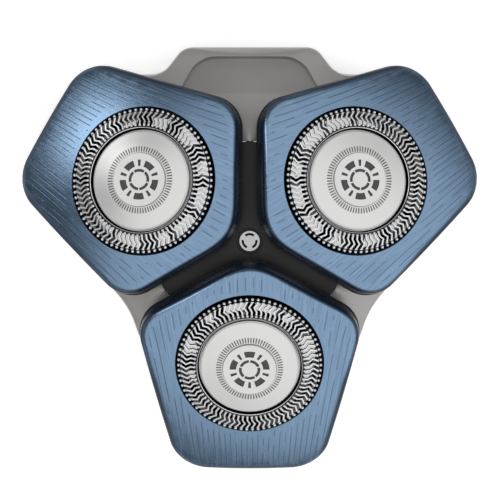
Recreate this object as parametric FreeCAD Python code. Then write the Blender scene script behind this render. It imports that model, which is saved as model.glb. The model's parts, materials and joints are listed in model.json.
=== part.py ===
"""A rotary shaver head: three tilting pentagonal shaving units on a three-lobed holder.

It lies on its back, with the shaving side up. Units are millimetres. The origin is on the
main axis, in the plane of the back rim. +Z is the way the shaving side faces, and +Y points
to the tab with the hinge clips.

Each shaving unit is modelled in a local frame of its own: X is outward from the main axis,
Z is the unit's own axis, and the local origin is the middle of the round hole in its plate.
"""
import FreeCAD, Part
import math
import os

# Layout of the three units
UNIT_ANGLES = (270.0, 30.0, 150.0)
UNIT_RADIUS = 17.2
UNIT_TILT = 17.0
UNIT_HEIGHT = 16.5

# Pentagonal face plate, as the corners of its outline before rounding
PLATE_APEX = 15.26
PLATE_SIDE_X = 5.8
PLATE_SIDE_Y = 16.14
PLATE_OUTER_X = 17.45
PLATE_OUTER_Y = 10.3
PLATE_APEX_ROUND = 7.0
PLATE_SIDE_ROUND = 4.7
PLATE_OUTER_ROUND = 5.6
PLATE_CROWN = 60.0
PLATE_WALL = 1.0
PLATE_DEPTH = 3.6
PLATE_EDGE_ROUND = 1.1
PLATE_HOLE_GAP = 0.28
PLATE_HOLE_BEVEL = 0.25

# Guard: the steel cap with the slotted track
GUARD_RADIUS = 10.0
PLATE_HOLE = GUARD_RADIUS + PLATE_HOLE_GAP
GUARD_WALL = 0.35
GUARD_RIM_RISE = 0.0
TRACK_OUTER_RISE = 0.6
TRACK_OUTER = GUARD_RADIUS - 0.28
TRACK_INNER = TRACK_OUTER - 2.22
TRACK_INNER_RISE = 1.15
CUP_RADIUS = TRACK_INNER - 0.4
CUP_LIP = TRACK_INNER - 0.14
CUP_FLOOR = 0.45
FLANGE_WIDTH = 0.5
FLANGE_TOP = -2.05
FLANGE_THICK = 0.55
SLOT_COUNT = 78
SLOT_WIDTH = 0.46
SLOT_PATH = (
    (TRACK_INNER + 0.3, 0.15), (TRACK_INNER + 0.85, 0.1), (TRACK_INNER + 1.45, 2.7), (TRACK_OUTER - 0.1, 0.0))

# Centre disc of the guard, with its stem
DISC_EDGE_GAP = 0.1
DISC_EDGE_RISE = 1.12
DISC_SHOULDER = 4.7
DISC_SHOULDER_RISE = 1.55
DISC_STEP = 3.78
DISC_STEP_RISE = 0.3
DISC_TOP_RISE = 1.98
DISC_BEVEL = 0.25
STEM_RADIUS = 1.25
STEM_END = -1.9
MARK_COUNT = 5
MARK_TURNS = (0.0, -12.0, 12.0)
MARK_DEPTH = 0.15
MARK_OUTER = 2.8
MARK_INNER = 1.9
MARK_BLOCK_ANGLE = 34.0
MARK_WEDGE_ANGLE = 9.0
MARK_RING_OUTER = 1.5
MARK_RING_INNER = 1.1
MARK_RING_ANGLE = 64.0

# Cutter and its drive hub
RUN_GAP = 0.06
BLADE_COUNT = 12
BLADE_THICK = 0.4
BLADE_LEAN = 30.0
BLADE_FOOT = TRACK_INNER - 0.3
BLADE_FOOT_TOP = -0.3
BLADE_INNER = TRACK_INNER + 0.25
BLADE_OUTER = TRACK_OUTER - 0.27
WEB_TOP = -1.2
WEB_THICK = 0.4
WEB_OUTER = BLADE_FOOT + 0.4
WEB_HOLE = 2.2
WINDOW_COUNT = 6
WINDOW_INNER = 3.9
WINDOW_OUTER = WEB_OUTER - 1.0
WINDOW_ANGLE = 36.0
HUB_RADIUS = 2.9
HUB_FLANGE = 3.2
HUB_FLANGE_TOP = -0.4
HUB_END = -5.6
PILOT_GAP = 0.05
PILOT_DEPTH = 2.0
SOCKET_RADIUS = 1.6
SOCKET_DEPTH = 2.4
SOCKET_KEY_WIDTH = 0.9
SOCKET_KEY_REACH = 2.3

# Retaining ring with its bayonet
RETAINER_GAP = 0.15
RETAINER_INNER = GUARD_RADIUS - 0.7
RETAINER_END = -4.4
LUG_COUNT = 3
LUG_REACH = 0.9
LUG_THICK = 0.8
LUG_ANGLE = 30.0
LUG_GAP = 0.1
LUG_TURN = 28.0
LUG_START = 60.0
GRIP_START = 30.0
SPOKE_WIDTH = 2.2
SPOKE_THICK = 1.2
COLLAR_INNER = 3.3
COLLAR_OUTER = 4.4
COLLAR_TOP = -1.95
GRIP_COUNT = 6
GRIP_HEIGHT = 0.7
GRIP_WIDTH = 0.9

# Carrier under the face plate
FIT_GAP = 0.1
CARRIER_BORE_GAP = 0.15
CARRIER_WALL = 0.6
CARRIER_TUBE = GUARD_RADIUS + FLANGE_WIDTH + LUG_REACH + CARRIER_WALL
CARRIER_END = -4.8
LIP_PROUD = 0.1
LIP_THICK = 0.4
EAR_THICK = 1.2
EAR_INNER = CARRIER_TUBE + 0.1
EAR_OUTER = EAR_INNER + EAR_THICK
EAR_HALF_WIDTH = 1.5

# Gimbal ring, its pins and its two spring washers
PIVOT_LEVEL = -8.2
PIN_RADIUS = 0.7
PIN_RUN_GAP = 0.05
PIN_SEAT_GAP = 0.01
PIN_BEVEL = 0.15
GIMBAL_WIDTH = 1.15
GIMBAL_OUTER = EAR_INNER - 0.3
GIMBAL_INNER = GIMBAL_OUTER - GIMBAL_WIDTH
GIMBAL_HEIGHT = 2.2
GIMBAL_BEVEL = 0.2
PIN_INNER_END = GIMBAL_INNER + 0.25
ROLL_PIN_OUTER_END = EAR_OUTER
SPRING_THICK = 0.25
SPRING_MARGIN = 0.1
SPRING_SEAT_GAP = 0.02
ROLL_SPRING_HEIGHT = 1.1

# Holder outline, seen from above, for the unit that points along -Y
SHELL_OUTER_X = 9.6
SHELL_OUTER_Y = 29.2
SHELL_OUTER_ROUND = 5.0
SHELL_HIP_X = 16.0
SHELL_HIP_Y = 13.5
SHELL_HIP_ROUND = 14.0
SHELL_VALLEY = 19.8
SHELL_VALLEY_ROUND = 12.0
TAB_TOP_X = 9.45
TAB_TOP_Y = 27.05
TAB_TOP_ROUND = 2.6
TAB_FOOT_X = 12.45
TAB_FOOT_Y = 23.17
TAB_FOOT_ROUND = 3.6

# Shell: the visible holder
SHELL_WALL = 1.1
SHELL_BOTTOM = 1.2
SHELL_EDGE_ROUND = 0.5
TAB_BOTTOM = 3.4
DECK_LEVEL = 19.2
DECK_SLOPE = 24.0
DECK_THICK = 1.2
SWING_GAP = 0.55
SWING_LEVEL = -6.4
TIP_WIDTH = 0.9
TIP_SLOPE = 50.0
PANEL_TOP_SLOPE = 32.0
PANEL_START = 17.0
PANEL_TOP_X = 7.3
PANEL_TOP_Y = 25.8
PANEL_FOOT_X = 10.2
PANEL_FOOT_Y = 20.6
PANEL_ROUND = 4.2

# Star cover between the units, and its screw
STAR_TOP = 14.4
STAR_SLOPE = 7.2
STAR_HUB = 3.5
STAR_THICK = 1.0
STAR_END = 13.85
STAR_END_GAP = 0.1
STAR_CLEAR = 12.8
STAR_END_HALF = 1.65
STAR_WAIST = 8.5
STAR_WAIST_HALF = 1.05
STAR_NOTCH = 3.2
SCREW_RADIUS = 1.42
SCREW_HEAD = 0.7
SCREW_RECESS = 1.9
SCREW_RECESS_DEPTH = 0.45
SCREW_SHANK = 0.85
SCREW_LENGTH = 7.5
SCREW_SOCKET_INNER = 0.8
SCREW_SOCKET_OUTER = 1.13
SCREW_SOCKET_ANGLE = 76.0
SCREW_SOCKET_DEPTH = 0.45

# Chassis: the frame that carries the gimbals
CHASSIS_WALL = 1.2
CHASSIS_GAP = 0.1
CHASSIS_BACK = 0.0
WEB_HALF = 0.55
WEB_BOTTOM = 1.0
BOSS_RADIUS = 2.8
BOSS_SOCKET = 1.5
BOSS_SOCKET_DEPTH = 3.0
WINDOW_RADIUS = CARRIER_TUBE + 0.6
POCKET_HALF = 2.7
POCKET_REACH = EAR_OUTER + 0.55
POCKET_DEPTH = 2.8
LUG_RADIUS = 1.5
PAD_HALF = 1.3
HINGE_Y = 24.0
HINGE_Z = 2.0
HINGE_RADIUS = 1.0
HINGE_WALL = 0.9
HINGE_MOUTH = 1.3
HINGE_X_INNER = 5.0
HINGE_X_OUTER = 7.0
CATCH_X_INNER = 3.0
CATCH_X_OUTER = 6.5
CATCH_REACH = 0.9
CATCH_LEVEL = 2.2
CATCH_THICK = 1.2

# Longer than anything here, for cutting shapes
TALL = 2 * SHELL_OUTER_Y


def rad(degrees):
    return math.radians(degrees)


def polar(radius, angle):
    return (radius * math.cos(rad(angle)), radius * math.sin(rad(angle)))


def rounded_outline(corners):
    """A closed wire through (x, y, radius) corners, each rounded by a tangent arc."""
    starts, arcs, ends = [], [], []
    count = len(corners)
    for i, (x, y, radius) in enumerate(corners):
        here = FreeCAD.Vector(x, y, 0)
        before = FreeCAD.Vector(*corners[i - 1][:2], 0)
        after = FreeCAD.Vector(*corners[(i + 1) % count][:2], 0)
        to_before = (before - here).normalize()
        to_after = (after - here).normalize()
        half = to_before.getAngle(to_after) / 2
        reach = radius / math.tan(half)
        middle = (to_before + to_after).normalize()
        centre = here + middle * (radius / math.sin(half))
        start = here + to_before * reach
        end = here + to_after * reach
        starts.append(start)
        arcs.append(Part.Arc(start, centre - middle * radius, end).toShape())
        ends.append(end)
    edges = []
    for i in range(count):
        edges.append(arcs[i])
        edges.append(Part.makeLine(ends[i], starts[(i + 1) % count]))
    return Part.Wire(edges)


def prism(wire, low, high):
    """The outline raised into a solid from one level to another."""
    face = Part.Face(wire)
    face.translate(FreeCAD.Vector(0, 0, low))
    return face.extrude(FreeCAD.Vector(0, 0, high - low))


def grown(wire, distance):
    return wire.makeOffset2D(distance) if distance else wire


def turned(points):
    """A solid of revolution about Z from (radius, level) points."""
    corners = [FreeCAD.Vector(r, 0, z) for r, z in points]
    profile = Part.makePolygon(corners + corners[:1])
    axis = FreeCAD.Vector(0, 0, 1)
    return Part.Face(profile).revolve(FreeCAD.Vector(), axis, 360)


def cylinder(radius, low, high):
    return Part.makeCylinder(radius, high - low, FreeCAD.Vector(0, 0, low))


def tube(inner, outer, low, high):
    return cylinder(outer, low, high).cut(cylinder(inner, low, high))


def rod(radius, start, end, direction, level):
    """A cylinder along a level direction, from one distance to another."""
    unit = FreeCAD.Vector(*direction)
    base = unit * start + FreeCAD.Vector(0, 0, level)
    return Part.makeCylinder(radius, end - start, base, unit)


def slab(x0, x1, y0, y1, z0, z1):
    return Part.makeBox(x1 - x0, y1 - y0, z1 - z0, FreeCAD.Vector(x0, y0, z0))


def spun(shape, angle):
    """A copy turned about Z."""
    copy = shape.copy()
    copy.rotate(FreeCAD.Vector(), FreeCAD.Vector(0, 0, 1), angle)
    return copy


def sector(inner, outer, low, high, angle, width):
    """A block of a ring, centred on an angle."""
    points = [
        polar(inner, -width / 2), polar(outer, -width / 2),
        polar(outer, 0), polar(outer, width / 2),
        polar(inner, width / 2), polar(inner, 0),
    ]
    a, b, c, d, e, f = [FreeCAD.Vector(x, y, low) for x, y in points]
    wire = Part.Wire([
        Part.makeLine(a, b), Part.Arc(b, c, d).toShape(),
        Part.makeLine(d, e), Part.Arc(e, f, a).toShape(),
    ])
    block = Part.Face(wire).extrude(FreeCAD.Vector(0, 0, high - low))
    return spun(block, angle)


def around(count, make, first=0.0):
    """One compound of shapes, each made for its own angle."""
    step = 360.0 / count
    return Part.makeCompound([make(first + i * step) for i in range(count)])


def ball(radius, top_level):
    """A sphere whose highest point is at a level."""
    return Part.makeSphere(radius, FreeCAD.Vector(0, 0, top_level - radius))


def dome(level, slope, reach=TALL):
    """A cone about Z that stands for all that lies under a sloping deck."""
    drop = reach * math.tan(rad(slope))
    return turned([(0, level), (reach, level - drop), (reach, level - drop - TALL), (0, level - drop - TALL)])


def placed(shape, index):
    """A copy taken from the unit's local frame to its place on the holder."""
    copy = shape.copy()
    origin = FreeCAD.Vector()
    copy.rotate(origin, FreeCAD.Vector(0, 1, 0), UNIT_TILT)
    copy.translate(FreeCAD.Vector(UNIT_RADIUS, 0, UNIT_HEIGHT))
    copy.rotate(origin, FreeCAD.Vector(0, 0, 1), UNIT_ANGLES[index])
    return copy


def plate_outline(offset=0.0):
    corners = [
        (-PLATE_APEX, 0, PLATE_APEX_ROUND),
        (-PLATE_SIDE_X, -PLATE_SIDE_Y, PLATE_SIDE_ROUND),
        (PLATE_OUTER_X, -PLATE_OUTER_Y, PLATE_OUTER_ROUND),
        (PLATE_OUTER_X, PLATE_OUTER_Y, PLATE_OUTER_ROUND),
        (-PLATE_SIDE_X, PLATE_SIDE_Y, PLATE_SIDE_ROUND),
    ]
    return grown(rounded_outline(corners), offset)


def crown(depth):
    """A ball whose surface passes the edge of the plate's hole, or that depth under it."""
    sag = PLATE_CROWN - math.sqrt(PLATE_CROWN ** 2 - PLATE_HOLE ** 2)
    return ball(PLATE_CROWN - depth, sag - depth)


def top_edges(shape, level):
    """The edges of a domed block's upper rim."""
    return [e for e in shape.Edges if e.BoundBox.ZMin > level and e.Length > 0.01]


def face_plate():
    block = prism(plate_outline(), -PLATE_DEPTH, PLATE_CROWN).common(crown(0))
    block = block.makeFillet(PLATE_EDGE_ROUND, top_edges(block, -PLATE_DEPTH + 0.1))
    inside = prism(plate_outline(-PLATE_WALL), -PLATE_DEPTH - 1, PLATE_CROWN).common(crown(PLATE_WALL))
    bevel = turned([
        (0, -PLATE_DEPTH), (PLATE_HOLE, -PLATE_DEPTH), (PLATE_HOLE, -PLATE_HOLE_BEVEL),
        (PLATE_HOLE + 2 * PLATE_HOLE_BEVEL, PLATE_HOLE_BEVEL), (0, PLATE_HOLE_BEVEL + 1),
    ])
    return block.cut(inside).cut(bevel)


def track_level(radius, depth=0.0):
    """The level of the track's sloping face at a radius, or that depth under it."""
    slope = (TRACK_INNER_RISE - TRACK_OUTER_RISE) / (TRACK_OUTER - TRACK_INNER)
    return TRACK_OUTER_RISE + (TRACK_OUTER - radius) * slope - depth


def guard_flange_radius():
    return GUARD_RADIUS + FLANGE_WIDTH


def bent_slot(angle):
    """One bent slot through the track, as a prism."""
    middle = sum(r for r, _ in SLOT_PATH) / len(SLOT_PATH)
    half = math.degrees(SLOT_WIDTH / 2 / middle)
    low = [(r, a - half) for r, a in SLOT_PATH]
    high = [(r, a + half) for r, a in reversed(SLOT_PATH)]
    points = [FreeCAD.Vector(*polar(r, angle + a), 0) for r, a in low + high]
    face = Part.Face(Part.makePolygon(points + points[:1]))
    return face.extrude(FreeCAD.Vector(0, 0, 2 * TRACK_INNER_RISE))


def guard():
    inside = GUARD_RADIUS - GUARD_WALL
    under = CUP_LIP + GUARD_WALL - 0.1
    body = turned([
        (STEM_RADIUS, CUP_FLOOR), (CUP_RADIUS, CUP_FLOOR), (CUP_LIP, TRACK_INNER_RISE - 0.1),
        (TRACK_INNER, TRACK_INNER_RISE), (TRACK_OUTER, TRACK_OUTER_RISE),
        (GUARD_RADIUS, GUARD_RIM_RISE), (GUARD_RADIUS, FLANGE_TOP),
        (guard_flange_radius(), FLANGE_TOP), (guard_flange_radius(), FLANGE_TOP - FLANGE_THICK),
        (inside, FLANGE_TOP - FLANGE_THICK), (inside, track_level(inside, GUARD_WALL)),
        (under + 0.1, track_level(under + 0.1, GUARD_WALL)), (under, CUP_FLOOR - GUARD_WALL),
        (STEM_RADIUS, CUP_FLOOR - GUARD_WALL),
    ])
    return body.cut(around(SLOT_COUNT, bent_slot))


def disc_marks(turn):
    """The wheel of sunk wedges and ring segments in the middle of the disc."""
    low = DISC_TOP_RISE - MARK_DEPTH
    high = DISC_TOP_RISE + 1
    half_step = 180.0 / MARK_COUNT
    blocks = around(
        MARK_COUNT, lambda a: sector(MARK_INNER, MARK_OUTER, low, high, a, MARK_BLOCK_ANGLE), turn)
    wedges = around(
        MARK_COUNT, lambda a: sector(MARK_INNER, MARK_OUTER, low, high, a, MARK_WEDGE_ANGLE), turn + half_step)
    ring = around(
        MARK_COUNT, lambda a: sector(MARK_RING_INNER, MARK_RING_OUTER, low, high, a, MARK_RING_ANGLE),
        turn + half_step)
    return Part.makeCompound([blocks, wedges, ring])


def guard_disc(turn):
    edge = CUP_RADIUS - DISC_EDGE_GAP
    body = turned([
        (0, STEM_END), (STEM_RADIUS - 0.2, STEM_END), (STEM_RADIUS, STEM_END + 0.2),
        (STEM_RADIUS, CUP_FLOOR), (edge, CUP_FLOOR), (edge, DISC_EDGE_RISE - DISC_BEVEL),
        (edge - DISC_BEVEL, DISC_EDGE_RISE), (DISC_SHOULDER, DISC_SHOULDER_RISE),
        (DISC_STEP, DISC_TOP_RISE - DISC_STEP_RISE), (DISC_STEP, DISC_TOP_RISE), (0, DISC_TOP_RISE),
    ])
    return body.cut(disc_marks(180.0 + turn))


def blade(angle):
    """One leaning blade, up to the underside of the guard and trimmed by the caller."""
    rise = TRACK_INNER_RISE - WEB_TOP + WEB_THICK
    shift = rise * math.tan(rad(BLADE_LEAN))
    points = [(0, 0), (BLADE_THICK, 0), (BLADE_THICK + shift, rise), (shift, rise)]
    corners = [FreeCAD.Vector(BLADE_FOOT, y - shift / 2, WEB_TOP - WEB_THICK + z) for y, z in points]
    face = Part.Face(Part.makePolygon(corners + corners[:1]))
    return spun(face.extrude(FreeCAD.Vector(BLADE_OUTER - BLADE_FOOT, 0, 0)), angle)


def cutter():
    web_bottom = WEB_TOP - WEB_THICK
    web = tube(WEB_HOLE, WEB_OUTER, web_bottom, WEB_TOP)
    web = web.cut(around(
        WINDOW_COUNT,
        lambda a: sector(WINDOW_INNER, WINDOW_OUTER, web_bottom - 1, WEB_TOP + 1, a, WINDOW_ANGLE)))
    envelope = turned([
        (BLADE_FOOT, web_bottom), (BLADE_OUTER, web_bottom),
        (BLADE_OUTER, track_level(BLADE_OUTER, GUARD_WALL + RUN_GAP)),
        (BLADE_INNER, track_level(BLADE_INNER, GUARD_WALL + RUN_GAP)),
        (BLADE_INNER, BLADE_FOOT_TOP), (BLADE_FOOT, BLADE_FOOT_TOP),
    ])
    blades = around(BLADE_COUNT, blade).common(envelope)
    return web.fuse(blades.Solids).removeSplitter()


def cutter_hub():
    web_bottom = WEB_TOP - WEB_THICK
    body = turned([
        (0, HUB_END), (HUB_RADIUS - 0.2, HUB_END), (HUB_RADIUS, HUB_END + 0.2), (HUB_RADIUS, web_bottom),
        (WEB_HOLE, web_bottom), (WEB_HOLE, WEB_TOP), (HUB_FLANGE, WEB_TOP),
        (HUB_FLANGE, HUB_FLANGE_TOP - 0.2), (HUB_FLANGE - 0.2, HUB_FLANGE_TOP), (0, HUB_FLANGE_TOP),
    ])
    pilot = cylinder(STEM_RADIUS + PILOT_GAP, HUB_FLANGE_TOP - PILOT_DEPTH, HUB_FLANGE_TOP + 1)
    socket = cylinder(SOCKET_RADIUS, HUB_END - 1, HUB_END + SOCKET_DEPTH)
    half = SOCKET_KEY_WIDTH / 2
    key = slab(-SOCKET_KEY_REACH, SOCKET_KEY_REACH, -half, half, HUB_END - 1, HUB_END + SOCKET_DEPTH)
    return body.cut(pilot).cut(socket).cut(key)


def retainer_top():
    return FLANGE_TOP - FLANGE_THICK - FIT_GAP / 2


def retaining_ring():
    outer = guard_flange_radius()
    ring = tube(RETAINER_INNER, outer, RETAINER_END, retainer_top())
    lugs = around(
        LUG_COUNT,
        lambda a: sector(outer - 0.3, outer + LUG_REACH, RETAINER_END, RETAINER_END + LUG_THICK, a, LUG_ANGLE),
        LUG_START)
    half = SPOKE_WIDTH / 2
    spoke = slab(COLLAR_OUTER - 0.4, RETAINER_INNER + 0.3, -half, half, RETAINER_END, RETAINER_END + SPOKE_THICK)
    spokes = around(LUG_COUNT, lambda a: spun(spoke, a))
    collar = tube(COLLAR_INNER, COLLAR_OUTER, RETAINER_END, COLLAR_TOP)
    half = GRIP_WIDTH / 2
    grip = slab(RETAINER_INNER + 0.2, outer - 0.2, -half, half, RETAINER_END - GRIP_HEIGHT, RETAINER_END)
    grips = around(GRIP_COUNT, lambda a: spun(grip, a), GRIP_START)
    return ring.fuse([collar] + lugs.Solids + spokes.Solids + grips.Solids).removeSplitter()


def bayonet_cut():
    """The entry slots and the grooves that the retaining ring's lugs turn in."""
    inner = guard_flange_radius() - 0.3
    outer = guard_flange_radius() + LUG_REACH + LUG_GAP
    low = RETAINER_END - LUG_GAP
    high = RETAINER_END + LUG_THICK + LUG_GAP
    wide = LUG_ANGLE + 2.0
    grooves = around(
        LUG_COUNT, lambda a: sector(inner, outer, low, high, a - LUG_TURN / 2, wide + LUG_TURN), LUG_START)
    entries = around(
        LUG_COUNT, lambda a: sector(inner, outer, CARRIER_END - 1, low + 0.1, a - LUG_TURN, wide), LUG_START)
    return Part.makeCompound(grooves.Solids + entries.Solids)


def pivot_ear(side):
    """The ear that holds a pitch pin, on one side of the carrier."""
    width = EAR_HALF_WIDTH
    low = PIVOT_LEVEL
    ear = slab(-width, width, EAR_INNER, EAR_OUTER, low, -PLATE_DEPTH)
    root = slab(-width, width, CARRIER_TUBE - 0.5, EAR_OUTER, CARRIER_END, -PLATE_DEPTH)
    end = rod(width, EAR_INNER, EAR_OUTER, (0, 1, 0), low)
    bore = rod(PIN_RADIUS + PIN_SEAT_GAP, EAR_INNER - 1, EAR_OUTER + 1, (0, 1, 0), low)
    return spun(ear.fuse([root, end]).cut(bore), 0 if side > 0 else 180)


def plate_carrier():
    lip_bottom = -PLATE_DEPTH - LIP_THICK
    inset = PLATE_WALL + FIT_GAP
    block = prism(plate_outline(-inset), -PLATE_DEPTH, PLATE_CROWN).common(crown(inset))
    lip = prism(plate_outline(LIP_PROUD), lip_bottom, -PLATE_DEPTH)
    skirt = cylinder(CARRIER_TUBE, CARRIER_END, -PLATE_DEPTH)
    body = lip.fuse([block, skirt, pivot_ear(1), pivot_ear(-1)])
    ledge_bore = cylinder(GUARD_RADIUS + CARRIER_BORE_GAP, CARRIER_END - 1, 1)
    seat_bore = cylinder(guard_flange_radius() + CARRIER_BORE_GAP, CARRIER_END - 1, FLANGE_TOP)
    return body.cut(ledge_bore).cut(seat_bore).cut(bayonet_cut())


def gimbal_ring():
    half = GIMBAL_HEIGHT / 2
    low, high = PIVOT_LEVEL - half, PIVOT_LEVEL + half
    bevel = GIMBAL_BEVEL
    ring = turned([
        (GIMBAL_INNER, low + bevel), (GIMBAL_INNER + bevel, low), (GIMBAL_OUTER - bevel, low),
        (GIMBAL_OUTER, low + bevel), (GIMBAL_OUTER, high - bevel), (GIMBAL_OUTER - bevel, high),
        (GIMBAL_INNER + bevel, high), (GIMBAL_INNER, high - bevel),
    ])
    reach = GIMBAL_OUTER + 1
    along = rod(PIN_RADIUS + PIN_RUN_GAP, -reach, reach, (1, 0, 0), PIVOT_LEVEL)
    across = rod(PIN_RADIUS + PIN_RUN_GAP, -reach, reach, (0, 1, 0), PIVOT_LEVEL)
    return ring.cut(along).cut(across)


def pin_pair(outer_end, angle):
    """Two pins on one axis, one on each side of the gimbal ring."""
    length = outer_end - PIN_INNER_END
    pin = turned([
        (0, 0), (PIN_RADIUS - PIN_BEVEL, 0), (PIN_RADIUS, PIN_BEVEL), (PIN_RADIUS, length - PIN_BEVEL),
        (PIN_RADIUS - PIN_BEVEL, length), (0, length),
    ])
    pin.rotate(FreeCAD.Vector(), FreeCAD.Vector(0, 1, 0), 90)
    pin.translate(FreeCAD.Vector(PIN_INNER_END, 0, PIVOT_LEVEL))
    return Part.makeCompound([spun(pin, angle), spun(pin, angle + 180)])


def spring_washer(low, high, angle):
    """A curved washer: low where it crosses Y, high where it crosses X, then turned."""
    low, high = low + SPRING_SEAT_GAP, high - SPRING_SEAT_GAP
    outer = GIMBAL_OUTER - SPRING_MARGIN
    rise = high - low - SPRING_THICK
    reach = GIMBAL_OUTER

    def bow(level):
        edge = level + rise * (reach / outer) ** 2
        ends = [FreeCAD.Vector(x, -TALL / 2, z) for x, z in ((-reach, edge), (0, level), (reach, edge))]
        return Part.Arc(*ends).toShape(), ends[0], ends[2]

    under, under_left, under_right = bow(low)
    over, over_left, over_right = bow(low + SPRING_THICK)
    outline = Part.Wire([
        under, Part.makeLine(under_right, over_right), over, Part.makeLine(over_left, under_left)])
    strip = Part.Face(outline).extrude(FreeCAD.Vector(0, TALL, 0))
    ring = tube(GIMBAL_INNER + SPRING_MARGIN, outer, low - 1, high + 1)
    return spun(ring.common(strip), angle)


def pitch_spring():
    return spring_washer(PIVOT_LEVEL + GIMBAL_HEIGHT / 2, CARRIER_END, 0)


def roll_spring():
    top = PIVOT_LEVEL - GIMBAL_HEIGHT / 2
    return spring_washer(top - ROLL_SPRING_HEIGHT, top, 90)


def holder_outline(offset=0.0):
    """Three lobes, two open valleys between them and the tab in place of the third."""
    lobe = [
        (-SHELL_HIP_X, -SHELL_HIP_Y, SHELL_HIP_ROUND),
        (-SHELL_OUTER_X, -SHELL_OUTER_Y, SHELL_OUTER_ROUND),
        (SHELL_OUTER_X, -SHELL_OUTER_Y, SHELL_OUTER_ROUND),
        (SHELL_HIP_X, -SHELL_HIP_Y, SHELL_HIP_ROUND),
    ]

    def turn(corner, angle):
        x, y, radius = corner
        c, s = math.cos(rad(angle)), math.sin(rad(angle))
        return (x * c - y * s, x * s + y * c, radius)

    valleys = [(*polar(SHELL_VALLEY, a), SHELL_VALLEY_ROUND) for a in (330, 210)]
    right = [turn(corner, 120) for corner in lobe][:3]
    left = [turn(corner, 240) for corner in lobe][1:]
    tab = [
        (TAB_FOOT_X, TAB_FOOT_Y, TAB_FOOT_ROUND), (TAB_TOP_X, TAB_TOP_Y, TAB_TOP_ROUND),
        (-TAB_TOP_X, TAB_TOP_Y, TAB_TOP_ROUND), (-TAB_FOOT_X, TAB_FOOT_Y, TAB_FOOT_ROUND),
    ]
    corners = lobe + valleys[:1] + right + tab + left + valleys[1:]
    return grown(rounded_outline(corners), offset)


def swing_room(index):
    """The space that a tilting unit sweeps above the holder."""
    return placed(prism(plate_outline(SWING_GAP), SWING_LEVEL, TALL), index)


def unit_window(index):
    """The round window that a unit's carrier and gimbal work in, with pockets for the ears."""
    window = cylinder(WINDOW_RADIUS, -TALL, SWING_LEVEL + 1)
    low = PIVOT_LEVEL - POCKET_DEPTH
    pocket = slab(-POCKET_HALF, POCKET_HALF, -POCKET_REACH, POCKET_REACH, low, SWING_LEVEL + 1)
    return placed(window.fuse(pocket), index)


def panel_level(radius):
    """The level of the panel's floor: it leaves the deck smoothly and falls ever steeper."""
    run = (radius - PANEL_START) / (PANEL_TOP_Y - PANEL_START)
    first, last = math.tan(rad(DECK_SLOPE)), math.tan(rad(PANEL_TOP_SLOPE))
    fall = (radius - PANEL_START) * (first + (last - first) * run / 2)
    return DECK_LEVEL - PANEL_START * first - fall


def panel_cut():
    """The sloping recess on the tab."""
    wire = rounded_outline([
        (-PANEL_FOOT_X, PANEL_FOOT_Y, 0.5), (PANEL_FOOT_X, PANEL_FOOT_Y, 0.5),
        (PANEL_TOP_X, PANEL_TOP_Y, PANEL_ROUND), (-PANEL_TOP_X, PANEL_TOP_Y, PANEL_ROUND),
    ])
    top = PANEL_TOP_Y + 2
    rows = [FreeCAD.Vector(r, 0, panel_level(r)) for r in (PANEL_START, (PANEL_START + top) / 2, top)]
    end, start = FreeCAD.Vector(top, 0, -TALL), FreeCAD.Vector(PANEL_START, 0, -TALL)
    profile = Part.Wire([
        Part.Arc(*rows).toShape(), Part.makeLine(rows[2], end), Part.makeLine(end, start),
        Part.makeLine(start, rows[0])])
    floor = Part.Face(profile).revolve(FreeCAD.Vector(), FreeCAD.Vector(0, 0, 1), 360)
    return prism(wire, 0, DECK_LEVEL).cut(floor).cut(cylinder(PANEL_START, 0, DECK_LEVEL))


def tip_cut():
    """The bevel along the tip of the tab."""
    foot = TAB_TOP_Y - TIP_WIDTH
    level = DECK_LEVEL - foot * math.tan(rad(DECK_SLOPE))
    reach = TIP_WIDTH + 2
    drop = reach * math.tan(rad(TIP_SLOPE))
    points = [(foot, level), (foot + reach, level - drop), (foot + reach, level + TALL), (foot, level + TALL)]
    corners = [FreeCAD.Vector(-TALL / 2, y, z) for y, z in points]
    return Part.Face(Part.makePolygon(corners + corners[:1])).extrude(FreeCAD.Vector(TALL, 0, 0))


def holder_shell():
    deck = dome(DECK_LEVEL, DECK_SLOPE)
    under_deck = dome(DECK_LEVEL - DECK_THICK / math.cos(rad(DECK_SLOPE)), DECK_SLOPE)
    body = prism(holder_outline(), SHELL_BOTTOM, TALL / 2).common(deck).cut(tip_cut())
    body = body.makeFillet(SHELL_EDGE_ROUND, top_edges(body, SHELL_BOTTOM + 1))
    hollow = prism(holder_outline(-SHELL_WALL), 0, TALL / 2).common(under_deck)
    body = body.cut(hollow).cut(panel_cut())
    body = body.cut(slab(-TALL, TALL, TAB_FOOT_Y + 1, TALL, 0, TAB_BOTTOM))
    body = body.cut(cylinder(STAR_CLEAR, 0, TALL / 2))
    body = body.cut(prism(star_outline(STAR_END_GAP), 0, TALL / 2))
    for index in range(len(UNIT_ANGLES)):
        body = body.cut(swing_room(index)).cut(unit_window(index))
    return max(body.Solids, key=lambda solid: solid.Volume)


def star_level(distance):
    return STAR_TOP - (distance - STAR_HUB) * math.tan(rad(STAR_SLOPE))


def star_outline(offset=0.0):
    corners = []
    for arm in (90, 210, 330):
        across = [
            (*polar(STAR_NOTCH, arm - 60), STAR_NOTCH * 0.8),
            (STAR_WAIST, -STAR_WAIST_HALF, 15.0), (STAR_END, -STAR_END_HALF, 0.3),
            (STAR_END, STAR_END_HALF, 0.3), (STAR_WAIST, STAR_WAIST_HALF, 15.0),
        ]
        corners.append(across[0])
        c, s = math.cos(rad(arm)), math.sin(rad(arm))
        corners += [(x * c - y * s, x * s + y * c, radius) for x, y, radius in across[1:]]
    return grown(rounded_outline(corners), offset)


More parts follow.
